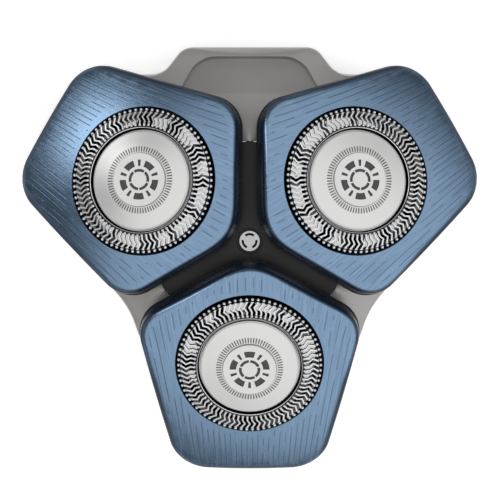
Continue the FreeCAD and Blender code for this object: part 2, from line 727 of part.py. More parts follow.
def star_cover():
    apex = STAR_TOP + STAR_HUB * math.tan(rad(STAR_SLOPE))
    top = dome(apex, STAR_SLOPE)
    under = dome(apex - STAR_THICK, STAR_SLOPE)
    body = prism(star_outline(), 0, TALL / 2).common(top).cut(under)
    flat = cylinder(STAR_HUB * 2, STAR_TOP, TALL / 2)
    recess = cylinder(SCREW_RECESS, STAR_TOP - SCREW_RECESS_DEPTH, TALL / 2)
    hole = cylinder(SCREW_SHANK + FIT_GAP, 0, TALL / 2)
    return body.cut(flat).cut(recess).cut(hole)


def centre_screw():
    """The cover's screw, with a three-lobed drive recess in its head."""
    seat = STAR_TOP - SCREW_RECESS_DEPTH
    head = cylinder(SCREW_RADIUS, seat, seat + SCREW_HEAD)
    shank = cylinder(SCREW_SHANK, seat - SCREW_LENGTH, seat)
    low = seat + SCREW_HEAD - SCREW_SOCKET_DEPTH
    lobes = around(
        3,
        lambda a: sector(SCREW_SOCKET_INNER, SCREW_SOCKET_OUTER, low, TALL / 2, a, SCREW_SOCKET_ANGLE), 90.0)
    return head.fuse(shank).cut(lobes)


def roll_lugs(index):
    """The outer lug and the inner pad and shelf that carry one gimbal ring."""
    level = PIVOT_LEVEL
    pad_top = level - GIMBAL_HEIGHT / 2 - ROLL_SPRING_HEIGHT
    lug = rod(LUG_RADIUS, EAR_INNER - 0.1, TALL / 2, (1, 0, 0), level)
    lug = lug.fuse(slab(EAR_INNER - 0.1, TALL / 2, -LUG_RADIUS, LUG_RADIUS, pad_top - 4, level))
    outer_pad = slab(GIMBAL_INNER, TALL / 2, -PAD_HALF, PAD_HALF, pad_top - 4, pad_top)
    inner_pad = slab(-GIMBAL_OUTER - 2, -GIMBAL_INNER, -PAD_HALF, PAD_HALF, pad_top - 4, pad_top)
    return [placed(shape, index) for shape in (lug, outer_pad, inner_pad)]


def hinge_clips():
    """Two clips, open at the back, that snap onto a hinge bar."""
    outer = HINGE_RADIUS + HINGE_WALL
    back = TAB_TOP_Y - SHELL_WALL - CHASSIS_GAP
    clips = []
    for side in (-1, 1):
        x0, x1 = sorted((side * HINGE_X_INNER, side * HINGE_X_OUTER))
        base = FreeCAD.Vector(x0, HINGE_Y, HINGE_Z)
        eye = Part.makeCylinder(outer, x1 - x0, base, FreeCAD.Vector(1, 0, 0))
        stay = slab(x0, x1, HINGE_Y, back, HINGE_Z, HINGE_Z + outer)
        post = slab(x0, x1, HINGE_Y - outer, HINGE_Y + outer, HINGE_Z, HINGE_Z + outer + 1.2)
        clips.append(eye.fuse([stay, post]))
    return clips


def latch_catches():
    """Two ledges inside the back rim for the latch, opposite the hinge."""
    face = SHELL_OUTER_Y - SHELL_WALL - CHASSIS_GAP - CHASSIS_WALL
    level = CATCH_LEVEL
    ledges = []
    for side in (-1, 1):
        x0, x1 = sorted((side * CATCH_X_INNER, side * CATCH_X_OUTER))
        ledges.append(slab(x0, x1, -face - CHASSIS_WALL / 2, -face + CATCH_REACH, level, level + CATCH_THICK))
    return ledges


def hinge_cut():
    """The bar's seat and the mouth that it snaps in through."""
    reach = HINGE_X_OUTER + CHASSIS_GAP
    seat = Part.makeCylinder(
        HINGE_RADIUS, 2 * reach, FreeCAD.Vector(-reach, HINGE_Y, HINGE_Z), FreeCAD.Vector(1, 0, 0))
    half = HINGE_MOUTH / 2
    mouth = slab(-reach, reach, HINGE_Y - half, HINGE_Y + half, -TALL, HINGE_Z)
    return seat.fuse(mouth)


def chassis():
    outside = -SHELL_WALL - CHASSIS_GAP
    deck = DECK_THICK / math.cos(rad(DECK_SLOPE)) + CHASSIS_GAP
    roof = dome(DECK_LEVEL - deck, DECK_SLOPE)
    solid = prism(holder_outline(outside), CHASSIS_BACK, TALL / 2).common(roof)
    wall = solid.cut(prism(holder_outline(outside - CHASSIS_WALL), -1, TALL / 2))
    for index in range(len(UNIT_ANGLES)):
        wall = wall.cut(swing_room(index)).cut(unit_window(index))
    boss = cylinder(BOSS_RADIUS, CHASSIS_BACK, STAR_TOP - STAR_THICK)
    webs = [
        spun(slab(0, SHELL_VALLEY, -WEB_HALF, WEB_HALF, WEB_BOTTOM, TALL / 2), angle)
        for angle in (90, 210, 330)
    ]
    apex = STAR_TOP + STAR_HUB * math.tan(rad(STAR_SLOPE)) - STAR_THICK - FIT_GAP
    webs = [web.common(dome(apex, STAR_SLOPE)).common(solid) for web in webs]
    extra = []
    for index in range(len(UNIT_ANGLES)):
        extra += [lug.common(solid) for lug in roll_lugs(index)]
    body = wall.fuse([boss] + webs + extra + hinge_clips() + latch_catches())
    body = body.cut(cylinder(BOSS_SOCKET, -1, BOSS_SOCKET_DEPTH))
    body = body.cut(cylinder(SCREW_SHANK, BOSS_SOCKET_DEPTH - 0.1, TALL / 2))
    body = body.cut(hinge_cut())
    for index in range(len(UNIT_ANGLES)):
        bore = rod(PIN_RADIUS + PIN_SEAT_GAP, -ROLL_PIN_OUTER_END, ROLL_PIN_OUTER_END, (1, 0, 0), PIVOT_LEVEL)
        body = body.cut(placed(bore, index))
    return body


def main():
    os.makedirs("parts", exist_ok=True)
    shapes = {
        "holder_shell": holder_shell(),
        "chassis": chassis(),
        "star_cover": star_cover(),
        "centre_screw": centre_screw(),
    }
    unit = {
        "face_plate": face_plate(),
        "plate_carrier": plate_carrier(),
        "guard": guard(),
        "cutter": cutter(),
        "cutter_hub": cutter_hub(),
        "retaining_ring": retaining_ring(),
        "gimbal_ring": gimbal_ring(),
        "pitch_pins": pin_pair(EAR_OUTER, 90),
        "roll_pins": pin_pair(ROLL_PIN_OUTER_END, 0),
        "pitch_spring": pitch_spring(),
        "roll_spring": roll_spring(),
    }
    for index in range(len(UNIT_ANGLES)):
        for name, shape in unit.items():
            shapes[f"{name}_{index + 1}"] = placed(shape, index)
        shapes[f"guard_disc_{index + 1}"] = placed(guard_disc(MARK_TURNS[index]), index)
    for name, shape in shapes.items():
        shape.exportStep(os.path.join("parts", name + ".step"))


main()
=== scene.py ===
"""The looks of a rotary shaver head that lies on its back on a white table."""

import json
import math

import bmesh
import bpy
from bpy.props import FloatProperty, FloatVectorProperty, IntProperty, PointerProperty
from bpy.types import Operator, Panel, PropertyGroup
from mathutils import Euler, Matrix, Vector


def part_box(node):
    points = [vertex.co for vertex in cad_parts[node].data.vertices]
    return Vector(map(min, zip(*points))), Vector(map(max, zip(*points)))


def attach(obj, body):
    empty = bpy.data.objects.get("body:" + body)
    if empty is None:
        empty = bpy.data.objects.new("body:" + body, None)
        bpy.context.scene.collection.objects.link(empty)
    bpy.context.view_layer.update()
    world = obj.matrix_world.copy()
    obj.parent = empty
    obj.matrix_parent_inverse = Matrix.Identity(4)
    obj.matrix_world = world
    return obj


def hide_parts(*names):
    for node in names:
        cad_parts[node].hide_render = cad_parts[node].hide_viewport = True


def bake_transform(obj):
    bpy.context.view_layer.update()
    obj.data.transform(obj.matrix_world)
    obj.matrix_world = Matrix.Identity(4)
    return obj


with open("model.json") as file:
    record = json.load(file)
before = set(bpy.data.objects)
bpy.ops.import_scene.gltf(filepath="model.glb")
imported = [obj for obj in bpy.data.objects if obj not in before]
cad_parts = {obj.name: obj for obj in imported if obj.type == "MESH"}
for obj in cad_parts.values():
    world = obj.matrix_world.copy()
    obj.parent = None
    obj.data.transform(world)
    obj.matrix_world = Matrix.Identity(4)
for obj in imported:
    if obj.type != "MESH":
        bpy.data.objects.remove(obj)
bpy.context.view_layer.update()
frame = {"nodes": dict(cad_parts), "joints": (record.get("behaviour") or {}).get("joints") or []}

bl_info = {
    "name": "Rotary shaver head",
    "version": (1, 0, 0),
    "blender": (4, 5, 0),
    "location": "3D View > Sidebar > Shaver head",
    "description": "Dresses the frame of a rotary shaver head with its finished pieces",
    "category": "Object",
}

MM = 0.001
UNITS = (1, 2, 3)

# Sizes from here on are in millimetres. Those of a unit are in its own frame: X outward, Z along
# its axis, the origin in the middle of the plate's hole.

# The cutter's joint lies this far under the middle of the plate's hole
SPIN_DEPTH = 1.4

# Face plate: the outline's corners before rounding, the rounding and the hole
PLATE_CORNERS = ((-15.26, 0.0), (-5.8, -16.14), (17.45, -10.3), (17.45, 10.3), (-5.8, 16.14))
CORNER_BLEND = 5.5
PLATE_HOLE = 10.28

# Painted shade at the rim of a plate: it fades out between two distances from the outline. Beside the
# star it is narrower by a factor, and it widens between two places along X. The painted shade there
# hides this share of the metal.
RIM_FADE = (0.25, 1.15)
RIM_NARROWER = 2.6
RIM_WIDENS = (-7.0, 3.0)
RIM_SHADE_MATT = 0.95

# Fine grooves of a plate: half their width, the distance from one start to the next along them, the
# share of it that is cut, and how much they close in per millimetre outward
GROOVE_HALF = 0.055
GROOVE_STRIDE = 13.0
GROOVE_SHARE = 0.88
FAN = 0.015
# They fade in between two distances from the outline, and between two from the hole, where their
# ends are scattered by up to the last value
GROOVE_FROM_RIM = (0.9, 1.2)
GROOVE_FROM_HOLE = (0.5, 0.7)
GROOVE_SCATTER = 1.2
# How dark they are, and how deep as a multiple of the brushing
GROOVE_SHADE = 0.5
GROOVE_DEPTH = 1.5

# Radius of the well round the centre screw, in which the star is painted darker as shade, and the depths
# between which the screw's recess is painted dark as shade
WELL_RADIUS = 1.95
RECESS_SHADE = (0.12, 0.04)

# Slotted track of a cap: how many slots, and the radii between which they lie
SLOT_COUNT = 78
TRACK_INNER = 7.5
TRACK_OUTER = 9.72
# Radii between which a cap is painted dark all round as shade, and between which it is painted dark as
# shade from rib to rib
PAINTED_SHADE_RINGS = ((TRACK_INNER - 0.06, TRACK_INNER + 0.12), (TRACK_OUTER + 0.06, TRACK_OUTER + 2))
PAINTED_SHADE_GAPS = ((TRACK_INNER, TRACK_INNER + 0.5), (TRACK_OUTER - 0.24, TRACK_OUTER + 0.2))
# Where the gap between two ribs starts and ends, as shares of a slot's step
GAP_SHARES = (0.24, 0.76)
# A cap's face is a wall, painted dark as shade, where its normal's part along the axis is under these
WALL_LEVELS = (0.55, 0.75)
# The two rows of beads that end the ribs: radius, height and share of the bead radius
BEAD_ROWS = ((9.97, 0.32, 1.0), (7.81, 1.08, 0.8))
# The cutter's flanks are painted dark as shade below its edges, from this height down
BLADE_SHADE_TOP = 0.22

# Centre disc: the level of its top, its edge, the width of the line of painted shade at its rim and
# of its bevel, how metallic it is, and its turning marks per millimetre
DISC_TOP = 1.98
DISC_EDGE = 7.0
DISC_RIM = 0.03
DISC_BEVEL = 0.3
DISC_METALLIC = 0.6
TURNED_PER_MM = 5.0
# Its step: the radius, half the width of the line of painted shade there and how dark that line is
DISC_STEP = 3.78
STEP_HALF = 0.06
STEP_SHADE = 0.55
# Its etched ticks: the ring that they lie in, each tick's start and end as shares of a turn from
# one to the next, and how dark they are
TICK_INNER = 3.95
TICK_OUTER = 4.7
TICK_SHARES = (0.27, 0.73)
TICK_SHADE = 0.95
# Its sunk marks: the radius that they reach, and the depths between which they turn dark
MARKS_OUTER = 2.85
MARK_DARK = (0.06, 0.02)

# Height over the table at which the camera aims
AIM_HEIGHT = 16.5

# The picture's width in pixels, its scale, and the pixel at which that aim is seen
PICTURE_WIDTH = 500
PIXELS_PER_MM = 7.14
AIM_PIXEL = (249.6, 242.1)

# The soft box at the left, in metres: its place, its width and its radiance
BOX_PLACE = (-0.345, 0.199, 0.3)
BOX_WIDTH = 0.17
BOX_RADIANCE = 2.7
# Half the width of the table, in metres, and how brightly it shows itself
TABLE_HALF = 1.5
TABLE_GLOW = 0.55
# The light tent: the way to its bright side, how far that way its light fades in, and its dark level
TENT_WAY = (0.25, -0.26, 1.0)
TENT_FADE = (0.42, 0.7)
TENT_DARK = 0.1

# Corners of a node's triangles that are nearer than this, in metres, are one
SAME_CORNER = 0.5e-6


def linear(code):
    """The linear colour of an sRGB hex code, with alpha."""
    parts = [int(code[i:i + 2], 16) / 255 for i in (1, 3, 5)]
    return [c / 12.92 if c <= 0.04045 else ((c + 0.055) / 1.055) ** 2.4 for c in parts] + [1.0]


def colour(name, description, code):
    """A colour that the user can change."""
    return FloatVectorProperty(
        name=name, description=description, default=linear(code),
        subtype="COLOR", size=4, min=0.0, max=1.0)


class ShaverFinishes(PropertyGroup):
    """The colours of the finished surfaces."""
    plate: colour("Plate", "Anodised blue of the face plates", "#7F9AB6")
    # Painted shade: this darker blue is laid on the plates' rolled rim and in their grooves
    plate_shade: colour("Plate rim", "Darker blue at the rolled rim of the plates", "#1E2838")
    holder: colour("Holder", "Metallic grey paint of the holder", "#B6B4B2")
    black: colour("Black", "Moulded black of the star, the carriers and the inner frame", "#101013")
    steel: colour("Cap steel", "Stainless steel of the slotted caps", "#F0F1F3")
    nickel: colour("Nickel", "Dull nickel plating of the centre screw", "#BDBDBE")
    disc: colour("Disc", "Satin steel of the centre discs", "#E6E6E5")
    mark: colour("Marks", "Etched marks on the centre discs", "#454545")
    # Painted shade: the cutters' steel is made this dark so that they read dark under the cap
    blade: colour("Blades", "Ground steel of the cutters", "#56575B")
    hub: colour("Drive hubs", "Natural acetal of the drive hubs", "#DAD8CE")
    ring: colour("Rings", "Dark acetal of the lock rings and tilt rings", "#4A4C50")
    table: colour("Table", "Matt white of the table", "#F6F6F6")


class ShaverSizes(PropertyGroup):
    """The sizes of the details that are added to the frame, and of the studio."""
    bead: FloatProperty(
        name="Bead radius", description="Radius of the beads that end the cap's ribs",
        default=0.22 * MM, min=0.02 * MM, max=0.25 * MM, unit="LENGTH")
    ticks: IntProperty(
        name="Ticks", description="Number of etched ticks round the step of each disc",
        default=72, min=12, max=120)
    groove_pitch: FloatProperty(
        name="Groove pitch", description="Distance from one fine groove of a plate to the next",
        default=0.92 * MM, min=0.4 * MM, max=3 * MM, unit="LENGTH")
    camera_distance: FloatProperty(
        name="Camera distance", description="Distance of the camera from the middle of the head",
        default=394 * MM, min=200 * MM, max=900 * MM, unit="LENGTH")
    camera_lean: FloatProperty(
        name="Camera lean", description="Angle of the camera from straight above, towards the tab",
        default=math.radians(4.8), min=0.0, max=math.radians(60), subtype="ANGLE")


def joint(name):
    """What the frame says of a joint."""
    return next(j for j in frame["joints"] if j["name"] == name)


def unit_matrix(k):
    """Where unit k stands: X outward, Z along its axis, the origin in the middle of the hole."""
    out = Vector(joint(f"unit_roll_{k}")["axis"])
    across = Vector(joint(f"unit_pitch_{k}")["axis"])
    spin = joint(f"cutter_spin_{k}")
    up = Vector(spin["axis"])
    origin = Vector(spin["pos_m"]) + up * SPIN_DEPTH * MM
    rotation = Matrix((out, across, up)).transposed()
    return Matrix.Translation(origin) @ rotation.to_4x4()


def add(tree, kind, inputs=None, **settings):
    """Adds a node with its settings and inputs. A node as an input stands for its first output."""
    node = tree.nodes.new(kind)
    for name, value in settings.items():
        setattr(node, name, value)
    for name, value in (inputs or {}).items():
        if isinstance(value, bpy.types.Node):
            value = value.outputs[0]
        if isinstance(value, bpy.types.NodeSocket):
            tree.links.new(value, node.inputs[name])
        else:
            node.inputs[name].default_value = value
    return node


def new_material(name, base, metallic, roughness):
    """A material, its tree and its shader."""
    material = bpy.data.materials.new(name)
    material.use_nodes = True
    shader = material.node_tree.nodes["Principled BSDF"]
    shader.inputs["Base Color"].default_value = base
    shader.inputs["Metallic"].default_value = metallic
    shader.inputs["Roughness"].default_value = roughness
    return material, material.node_tree, shader


def object_mm(tree):
    """Object coordinates in millimetres."""
    place = add(tree, "ShaderNodeTexCoord").outputs["Object"]
    return add(tree, "ShaderNodeMapping", {"Vector": place, "Scale": (MM, MM, MM)}, vector_type="TEXTURE")


def unit_mm(tree, k):
    """Coordinates in unit k's own frame, in millimetres."""
    matrix = unit_matrix(k)
    place = add(tree, "ShaderNodeTexCoord").outputs["Object"]
    return add(tree, "ShaderNodeMapping", {
        "Vector": place, "Location": matrix.translation, "Rotation": matrix.to_euler(),
        "Scale": (MM, MM, MM)}, vector_type="TEXTURE")


def spun_place(tree, place):
    """From a place round an axis: its radius, its angle in radians and its height."""
    parts = add(tree, "ShaderNodeSeparateXYZ", {0: place})
    flat = add(tree, "ShaderNodeCombineXYZ", {0: parts.outputs[0], 1: parts.outputs[1]})
    radius = add(tree, "ShaderNodeVectorMath", {0: flat}, operation="LENGTH").outputs["Value"]
    angle = add(tree, "ShaderNodeMath", {0: parts.outputs[1], 1: parts.outputs[0]}, operation="ARCTAN2")
    return radius, angle, parts.outputs[2]


def band(tree, value, low, high, soft):
    """One inside a band of values, nought outside, with soft edges."""
    middle, half = (low + high) / 2, (high - low) / 2
    away = add(tree, "ShaderNodeMath", {0: value, 1: middle}, operation="SUBTRACT")
    away = add(tree, "ShaderNodeMath", {0: away}, operation="ABSOLUTE")
    return add(tree, "ShaderNodeMapRange", {
        "Value": away, "From Min": half - soft / 2, "From Max": half + soft / 2,
        "To Min": 1.0, "To Max": 0.0}, interpolation_type="SMOOTHSTEP")


def stained(tree, shader, amount, under, over):
    """Lays one colour over another by an amount, and leads the result to the shader."""
    mix = add(tree, "ShaderNodeMix", {0: amount, 6: under, 7: over}, data_type="RGBA")
    tree.links.new(mix.outputs[2], shader.inputs["Base Color"])
    return mix.outputs[2]


def glossed(tree, shader, field, smooth, rough):
    """Lets a field vary the roughness between two values."""
    node = add(tree, "ShaderNodeMapRange", {"Value": field, "To Min": smooth, "To Max": rough})
    tree.links.new(node.outputs[0], shader.inputs["Roughness"])


def relief(tree, shader, height, depth_mm):
    """Lets a height field of a given depth catch the light."""
    node = add(tree, "ShaderNodeBump", {"Height": height, "Distance": depth_mm * MM, "Strength": 1.0})
    tree.links.new(node.outputs[0], shader.inputs["Normal"])


def painted_abs(finish):
    """ABS with a metallic grey paint: fine flakes sparkle a little in a satin lacquer."""
    material, tree, shader = new_material("painted_abs", finish.holder, metallic=0.55, roughness=0.42)
    place = object_mm(tree)
    # Real flakes are 0.03 mm; they are drawn at 0.12 mm so that they show
    flakes = add(tree, "ShaderNodeTexVoronoi", {"Vector": place, "Scale": 8.0})
    cloud = add(tree, "ShaderNodeTexNoise", {"Vector": place, "Scale": 0.15, "Detail": 2.0})
    glint = add(tree, "ShaderNodeMapRange", {
        "Value": flakes.outputs["Color"], "To Min": 0.0, "To Max": 0.16})
    light = [min(1.0, c * 1.35) for c in finish.holder[:3]] + [1.0]
    stained(tree, shader, glint, finish.holder, light)
    glossed(tree, shader, cloud, smooth=0.36, rough=0.48)
    grain = add(tree, "ShaderNodeTexNoise", {"Vector": place, "Scale": 3.0, "Detail": 2.0})
    relief(tree, shader, grain, depth_mm=0.006)
    return material


def black_abs(finish):
    """Black ABS from a spark-eroded mould: a fine matt grain that spreads the highlight, and painted shade
    in the well round the centre screw.
    """
    made = bpy.data.materials.get("black_abs")
    if made:
        return made
    material, tree, shader = new_material("black_abs", finish.black, metallic=0.0, roughness=0.5)
    place = object_mm(tree)
    # Eroded grain is about 0.05 mm; it is drawn at 0.25 mm so that it shows
    grain = add(tree, "ShaderNodeTexNoise", {"Vector": place, "Scale": 4.0, "Detail": 3.0})
    cloud = add(tree, "ShaderNodeTexNoise", {"Vector": place, "Scale": 0.12, "Detail": 2.0})
    glossed(tree, shader, cloud, smooth=0.44, rough=0.58)
    worn = add(tree, "ShaderNodeMapRange", {"Value": grain, "To Min": 0.0, "To Max": 0.25})
    eroded = stained(tree, shader, worn, finish.black, linear("#19191C"))
    # The well round the centre screw is painted darker, as the shade that falls in it
    radius, _, _ = spun_place(tree, place)
    well = band(tree, radius, -WELL_RADIUS, WELL_RADIUS, soft=0.1)
    stained(tree, shader, well, eroded, linear("#060607"))
    relief(tree, shader, grain, depth_mm=0.012)
    return material


def acetal(name, base):
    """Moulded acetal: waxy and slightly translucent to the eye, with soft flow marks."""
    material, tree, shader = new_material(name, base, metallic=0.0, roughness=0.38)
    shader.inputs["IOR"].default_value = 1.48
    place = object_mm(tree)
    flow = add(tree, "ShaderNodeTexNoise", {
        "Vector": place, "Scale": 0.5, "Detail": 3.0, "Distortion": 0.6})
    glossed(tree, shader, flow, smooth=0.3, rough=0.46)
    shade = [c * 0.86 for c in base[:3]] + [1.0]
    stained(tree, shader, flow, base, shade)
    relief(tree, shader, flow, depth_mm=0.02)
    return material


def worked_steel(name, base, roughness, lines_per_mm):
    """Drawn or rolled steel: bright, with fine scratches that vary its gloss."""
    material, tree, shader = new_material(name, base, metallic=1.0, roughness=roughness)
    place = object_mm(tree)
    scratches = add(tree, "ShaderNodeTexNoise", {"Vector": place, "Scale": lines_per_mm, "Detail": 4.0})
    glossed(tree, shader, scratches, smooth=roughness - 0.08, rough=roughness + 0.1)
    relief(tree, shader, scratches, depth_mm=0.003)
    return material


def bead_highlight_steel():
    """Steel beads made near white and only partly metallic, a painted highlight that looks white from
    every side.
    """
    # Painted highlight: the beads stand for the glints at the rib ends
    material, tree, shader = new_material("bead_highlight_steel", linear("#F4F5F7"), metallic=0.3, roughness=0.45)
    # Tumbling marks are 0.02 mm wide; they are drawn at 0.1 mm so that they show
    marks = add(tree, "ShaderNodeTexNoise", {"Vector": object_mm(tree), "Scale": 10.0, "Detail": 2.0})
    glossed(tree, shader, marks, smooth=0.38, rough=0.55)
    return material


def edge_distance(tree, place):
    """How far a place is inside the plate's rounded outline, in millimetres."""
    nearest = None
    for i, (x, y) in enumerate(PLATE_CORNERS):
        after = PLATE_CORNERS[(i + 1) % len(PLATE_CORNERS)]
        along = Vector((after[0] - x, after[1] - y)).normalized()
        outward = Vector((along.y, -along.x, 0.0))
        reach = add(tree, "ShaderNodeVectorMath", {0: place, 1: outward}, operation="DOT_PRODUCT")
        inside = add(tree, "ShaderNodeMath", {
            0: outward.x * x + outward.y * y, 1: reach.outputs["Value"]}, operation="SUBTRACT")
        if nearest is None:
            nearest = inside
        else:
            nearest = add(tree, "ShaderNodeMath", {
                0: nearest, 1: inside, 2: CORNER_BLEND}, operation="SMOOTH_MIN")
    return nearest


def fanned(tree, place):
    """The place, with the lines along X made to close in outward as the plate's sides do."""
    parts = add(tree, "ShaderNodeSeparateXYZ", {0: place})
    spread = add(tree, "ShaderNodeMath", {0: parts.outputs[0], 1: FAN, 2: 1.0}, operation="MULTIPLY_ADD")
    across = add(tree, "ShaderNodeMath", {0: parts.outputs[1], 1: spread}, operation="MULTIPLY")
    return add(tree, "ShaderNodeCombineXYZ", {0: parts.outputs[0], 1: across, 2: parts.outputs[2]})


def fine_grooves(tree, place, pitch):
    """Evenly spaced grooves along the brushing, each broken somewhere, and a chance for each."""
    parts = add(tree, "ShaderNodeSeparateXYZ", {0: place})
    column = add(tree, "ShaderNodeMath", {0: parts.outputs[1], 1: pitch}, operation="DIVIDE")
    number = add(tree, "ShaderNodeMath", {0: column}, operation="FLOOR")
    across = add(tree, "ShaderNodeMath", {0: column}, operation="FRACT")
    across = add(tree, "ShaderNodeMath", {0: across, 1: pitch}, operation="MULTIPLY")
    line = band(tree, across, pitch / 2 - GROOVE_HALF, pitch / 2 + GROOVE_HALF, soft=0.07)
    chance = add(tree, "ShaderNodeTexWhiteNoise", {"W": number}, noise_dimensions="1D")
    row = add(tree, "ShaderNodeMath", {0: parts.outputs[0], 1: GROOVE_STRIDE}, operation="DIVIDE")
    row = add(tree, "ShaderNodeMath", {0: row, 1: chance}, operation="ADD")
    along = add(tree, "ShaderNodeMath", {0: row}, operation="FRACT")
    whole = band(tree, along, 0.0, GROOVE_SHARE, soft=0.01)
    line = add(tree, "ShaderNodeMath", {0: line, 1: whole}, operation="MULTIPLY")
    return line, chance


def anodised_aluminium(k, finish, sizes):
    """Blue anodised aluminium, brushed outward: long streaks, darker grooves and a rim painted dark as
    shade.
    """
    material, tree, shader = new_material(
        f"anodised_aluminium_{k}", finish.plate, metallic=1.0, roughness=0.36)
    place = unit_mm(tree, k)
    radius, _, _ = spun_place(tree, place)
    inside = edge_distance(tree, place)
    lines = fanned(tree, place)
    # Brushing lines are 0.05 mm apart; they are drawn at 0.25 mm so that they show
    stretched = add(tree, "ShaderNodeMapping", {"Vector": lines, "Scale": (0.16, 4.0, 0.16)})
    streaks = add(tree, "ShaderNodeTexNoise", {
        "Vector": stretched, "Scale": 1.0, "Detail": 4.0, "Roughness": 0.7})
    strong = add(tree, "ShaderNodeMapRange", {
        "Value": streaks, "From Min": 0.3, "From Max": 0.7, "To Min": 0.0, "To Max": 1.0})
    lighter = [min(1.0, c * 1.2) for c in finish.plate[:3]] + [1.0]
    deeper = [c * 0.8 for c in finish.plate[:3]] + [1.0]
    brushed = add(tree, "ShaderNodeMix", {0: strong, 6: deeper, 7: lighter}, data_type="RGBA")
    grooves, chance = fine_grooves(tree, lines, sizes.groove_pitch / MM)
    from_rim = add(tree, "ShaderNodeMapRange", {
        "Value": inside, "From Min": GROOVE_FROM_RIM[0], "From Max": GROOVE_FROM_RIM[1]})
    ends = add(tree, "ShaderNodeMath", {
        0: chance, 1: -GROOVE_SCATTER, 2: radius}, operation="MULTIPLY_ADD")
    from_hole = add(tree, "ShaderNodeMapRange", {
        "Value": ends, "From Min": PLATE_HOLE + GROOVE_FROM_HOLE[0],
        "From Max": PLATE_HOLE + GROOVE_FROM_HOLE[1]})
    grooves = add(tree, "ShaderNodeMath", {0: grooves, 1: from_rim}, operation="MULTIPLY")
    grooves = add(tree, "ShaderNodeMath", {0: grooves, 1: from_hole}, operation="MULTIPLY")
    shade = add(tree, "ShaderNodeMath", {0: grooves, 1: GROOVE_SHADE}, operation="MULTIPLY")
    cut = add(tree, "ShaderNodeMix", {
        0: shade, 6: brushed.outputs[2], 7: finish.plate_shade}, data_type="RGBA")
    # The rim's painted shade is wide outward and narrow beside the star
    outward = add(tree, "ShaderNodeSeparateXYZ", {0: place})
    narrower = add(tree, "ShaderNodeMapRange", {
        "Value": outward, "From Min": RIM_WIDENS[0], "From Max": RIM_WIDENS[1],
        "To Min": RIM_NARROWER, "To Max": 1.0})
    stretched_in = add(tree, "ShaderNodeMath", {0: inside, 1: narrower}, operation="MULTIPLY")
    rim = add(tree, "ShaderNodeMapRange", {
        "Value": stretched_in, "From Min": RIM_FADE[0], "From Max": RIM_FADE[1],
        "To Min": 1.0, "To Max": 0.0}, interpolation_type="SMOOTHSTEP")
    stained(tree, shader, rim, cut.outputs[2], finish.plate_shade)
    bare = add(tree, "ShaderNodeMath", {0: rim, 1: -RIM_SHADE_MATT, 2: 1.0}, operation="MULTIPLY_ADD")
    shader.inputs["Specular IOR Level"].default_value = 0.12
    tree.links.new(bare.outputs[0], shader.inputs["Metallic"])
    glossed(tree, shader, strong, smooth=0.2, rough=0.3)
    depth = add(tree, "ShaderNodeMath", {
        0: grooves, 1: -GROOVE_DEPTH, 2: strong}, operation="MULTIPLY_ADD")
    relief(tree, shader, depth, depth_mm=0.005)
    return material


def stainless_cap(k, finish):
    """Stamped and polished stainless steel: bright ribs, with painted shade at their ends, on the walls
    and in the slots.
    """
    material, tree, shader = new_material(
        f"stainless_cap_{k}", finish.steel, metallic=0.4, roughness=0.24)
    place = unit_mm(tree, k)
    radius, angle, _ = spun_place(tree, place)
    rings = [band(tree, radius, low, high, soft=0.05) for low, high in PAINTED_SHADE_RINGS]
    edges = add(tree, "ShaderNodeMath", {0: rings[0], 1: rings[1]}, operation="MAXIMUM")
    # Between two ribs the sheet is sunk, and painted dark up to the beads as the shade in the slots
    turns = add(tree, "ShaderNodeMath", {
        0: angle, 1: SLOT_COUNT / (2 * math.pi), 2: 0.5}, operation="MULTIPLY_ADD")
    turn = add(tree, "ShaderNodeMath", {0: turns}, operation="FRACT")
    between = band(tree, turn, *GAP_SHARES, soft=0.1)
    gaps = [band(tree, radius, low, high, soft=0.05) for low, high in PAINTED_SHADE_GAPS]
    zone = add(tree, "ShaderNodeMath", {0: gaps[0], 1: gaps[1]}, operation="MAXIMUM")
    sunk = add(tree, "ShaderNodeMath", {0: between, 1: zone}, operation="MULTIPLY")
    ends = add(tree, "ShaderNodeMath", {0: edges, 1: sunk}, operation="MAXIMUM")
    # Walls, in the slots and round the disc, are painted dark as shade
    face = add(tree, "ShaderNodeNewGeometry").outputs["True Normal"]
    axis = unit_matrix(k).col[2].xyz
    level = add(tree, "ShaderNodeVectorMath", {0: face, 1: axis}, operation="DOT_PRODUCT")
    walls = add(tree, "ShaderNodeMapRange", {
        "Value": level.outputs["Value"], "From Min": WALL_LEVELS[0], "From Max": WALL_LEVELS[1],
        "To Min": 1.0, "To Max": 0.0})
    cap_painted_shade = add(tree, "ShaderNodeMath", {0: ends, 1: walls}, operation="MAXIMUM")
    # Painted shade: the rings, the gaps between ribs and the walls are laid over with near black
    stained(tree, shader, cap_painted_shade, finish.steel, linear("#0B0C0E"))
    scratches = add(tree, "ShaderNodeTexNoise", {"Vector": place, "Scale": 5.0, "Detail": 4.0})
    glossed(tree, shader, scratches, smooth=0.14, rough=0.3)
    return material


def ground_steel(k, finish):
    """Ground cutter steel: its edges under the slots are bright, its flanks below are painted dark as
    shade.
    """
    material, tree, shader = new_material(f"ground_steel_{k}", finish.blade, metallic=1.0, roughness=0.3)
    place = unit_mm(tree, k)
    _, _, height = spun_place(tree, place)
    blade_painted_shade = add(tree, "ShaderNodeMapRange", {
        "Value": height, "From Min": 0.0, "From Max": BLADE_SHADE_TOP, "To Min": 1.0, "To Max": 0.0})
    stained(tree, shader, blade_painted_shade, finish.blade, linear("#2A2A2C"))
    scratches = add(tree, "ShaderNodeTexNoise", {"Vector": place, "Scale": 6.0, "Detail": 4.0})
    glossed(tree, shader, scratches, smooth=0.2, rough=0.36)
    relief(tree, shader, scratches, depth_mm=0.003)
    return material


